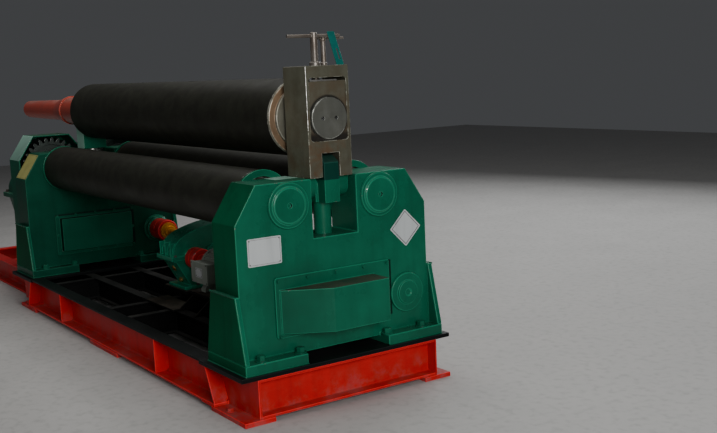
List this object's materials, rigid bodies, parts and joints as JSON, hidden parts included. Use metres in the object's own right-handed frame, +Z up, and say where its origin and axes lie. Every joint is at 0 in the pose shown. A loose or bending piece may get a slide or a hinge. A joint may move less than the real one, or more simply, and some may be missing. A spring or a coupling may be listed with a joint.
{
  "type": "plate rolling machine",
  "caption": "Mechanical three-roll plate bending machine with a tilting end bearing, side frames on a steel base, a geared roll drive and a screw-down drive.",
  "frame": {"origin": "centre of the rectangle of the four anchor holes, on the floor under the middle of the roll bodies", "axes": "+X along the rolls toward the tilting end, +Y across the rolls toward the rear roll, +Z up"},
  "size_m": [4.895, 1.186, 1.7152],
  "materials": {
    "teal_paint": "semi-gloss enamel, dusty",
    "base_paint": "semi-gloss primer enamel, dusty",
    "deck_paint": "matt, worn",
    "roll_steel": "dark forged and turned, oiled",
    "oiled_steel": "machined, brown oil film",
    "bright_steel": "bright turned",
    "shaft_paint": "gloss",
    "coupling_red": "gloss",
    "motor_grey": "satin",
    "gear_steel": "greased",
    "tail_red": "satin"
  },
  "bodies": {
    "frame": {"base_side_beams": "base_paint", "base_end_beams": "base_paint", "base_cross_beams": "base_paint", "base_stiffeners": "base_paint", "base_foot_pads": "base_paint", "base_deck_plate": "deck_paint", "near_frame": "teal_paint", "far_frame": "teal_paint", "frame_side_gussets": "teal_paint", "near_worm_cover": "teal_paint", "far_worm_cover": "teal_paint", "worm_hubs": "teal_paint", "near_bearing_covers": "teal_paint", "inboard_bearing_rings": "teal_paint", "gear_case": "teal_paint", "drive_base": "base_paint", "reducer_stand": "base_paint", "motor_stand": "base_paint", "main_reducer": "teal_paint", "main_coupling": "coupling_red", "main_motor": "motor_grey", "lift_stand": "base_paint", "lift_reducer": "teal_paint", "lift_motor_coupling": "coupling_red", "lift_motor": "motor_grey", "lift_shafts": "shaft_paint", "lift_shaft_couplings": "coupling_red"},
    "front_roll": {"lower_roll_front": "roll_steel", "front_roll_gear": "gear_steel"},
    "rear_roll": {"lower_roll_rear": "roll_steel", "rear_roll_gear": "gear_steel"},
    "pinion": {"drive_pinion": "gear_steel"},
    "carriage": {"near_lift_screw": "teal_paint", "near_hinge_pin": "bright_steel", "far_lift_screw": "bright_steel", "far_bearing_block": "teal_paint"},
    "upper_roll_set": {"upper_roll": "roll_steel", "upper_roll_tail": "tail_red"},
    "housing": {"tilt_housing": "oiled_steel", "tilt_bearing_block": "oiled_steel", "tilt_bearing_cap": "bright_steel", "tee_screw": "bright_steel", "small_tee_screw": "bright_steel", "tee_stay": "teal_paint"}
  },
  "joints": [
    {"name": "front_roll_spin", "type": "hinge", "parent": "frame", "child": "front_roll", "pos_m": [0, -0.25, 0.944], "axis": [1, 0, 0], "continuous": true},
    {"name": "rear_roll_spin", "type": "hinge", "parent": "frame", "child": "rear_roll", "pos_m": [0, 0.25, 0.944], "axis": [1, 0, 0], "continuous": true},
    {"name": "pinion_spin", "type": "hinge", "parent": "frame", "child": "pinion", "pos_m": [0, 0, 0.71891], "axis": [1, 0, 0], "continuous": true},
    {"name": "roll_lift", "type": "slide", "parent": "frame", "child": "carriage", "axis": [0, 0, 1], "range_m": [-0.12, 0.04]},
    {"name": "upper_roll_spin", "type": "hinge", "parent": "carriage", "child": "upper_roll_set", "pos_m": [0, 0, 1.32], "axis": [1, 0, 0], "continuous": true},
    {"name": "housing_tilt", "type": "hinge", "parent": "carriage", "child": "housing", "pos_m": [1.52, 0, 1.005], "axis": [0, 1, 0], "range_deg": [0, 90]}
  ],
  "couplings": [
    {"joint": "rear_roll_spin", "follows": "front_roll_spin", "ratio": 1},
    {"joint": "pinion_spin", "follows": "front_roll_spin", "ratio": -1.2857}
  ]
}
